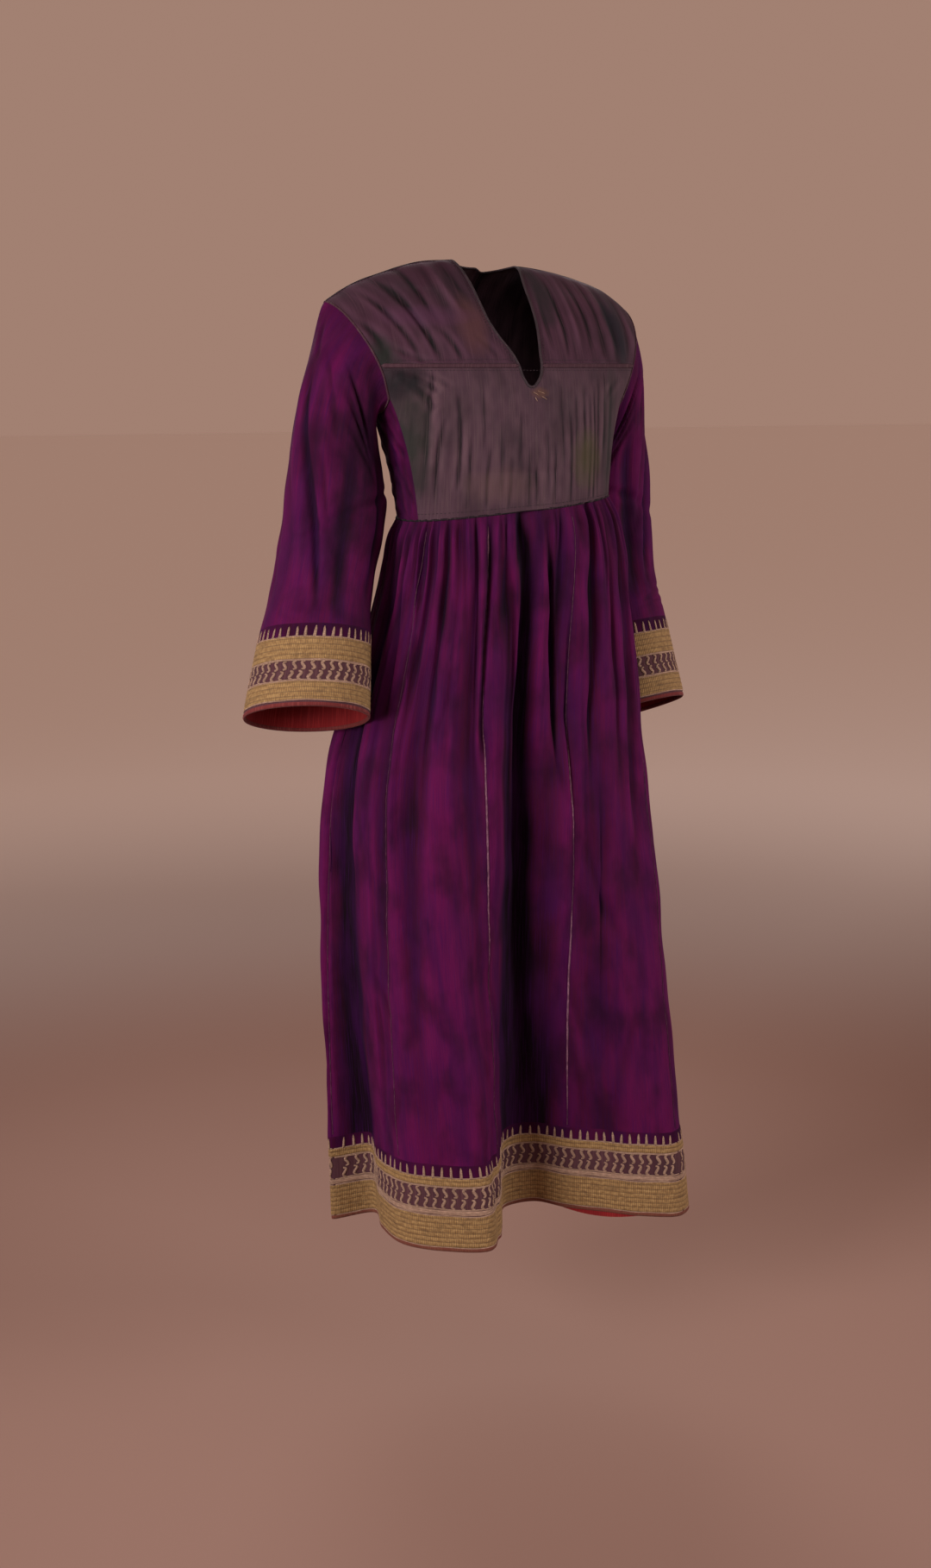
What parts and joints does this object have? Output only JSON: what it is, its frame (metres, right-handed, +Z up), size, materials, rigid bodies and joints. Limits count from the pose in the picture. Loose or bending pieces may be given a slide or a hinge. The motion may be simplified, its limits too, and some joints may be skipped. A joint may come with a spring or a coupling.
{
  "type": "long-sleeved gathered dress with embroidered hem and cuffs, in its worn form",
  "caption": "Full-length dress standing hollow as worn: gored, gathered skirt, set-in flared sleeves, slit neck, and embroidered bands at hem and cuffs.",
  "frame": {"origin": "middle of the shoulder line at the base of the neck, where the wearer carries the dress", "axes": "+Z up, +X to the wearer's left, -Y to the wearer's front"},
  "size_m": [0.644, 0.3266, 1.2278],
  "materials": {
    "yoke_satin": "plum satin with diagonal creases",
    "bodice_satin": "plum-grey satin, finely crinkled, worn",
    "shot_silk": "deep magenta-purple shot silk, soft sheen",
    "gold_embroidery": "dull gold thread couched on plum cloth",
    "red_facing": "plain dark red cotton"
  },
  "bodies": {
    "root": {"front_panel": "bodice_satin", "back_panel": "bodice_satin", "front_yoke_right": "yoke_satin", "front_yoke_left": "yoke_satin", "side_panel_right": "shot_silk", "side_panel_left": "shot_silk", "sleeve_right": "shot_silk", "sleeve_left": "shot_silk", "cuff_right": "gold_embroidery", "cuff_left": "gold_embroidery", "cuff_facing_right": "red_facing", "cuff_facing_left": "red_facing", "skirt_gore_1": "shot_silk", "skirt_gore_2": "shot_silk", "skirt_gore_3": "shot_silk", "skirt_gore_4": "shot_silk", "skirt_gore_5": "shot_silk", "skirt_gore_6": "shot_silk", "skirt_gore_7": "shot_silk", "skirt_gore_8": "shot_silk", "skirt_gore_9": "shot_silk", "hem_band_front_right": "gold_embroidery", "hem_band_front_left": "gold_embroidery", "hem_band_back_left": "gold_embroidery", "hem_band_back_right": "gold_embroidery", "hem_facing_front_right": "red_facing", "hem_facing_front_left": "red_facing", "hem_facing_back_left": "red_facing", "hem_facing_back_right": "red_facing"}
  },
  "joints": []
}
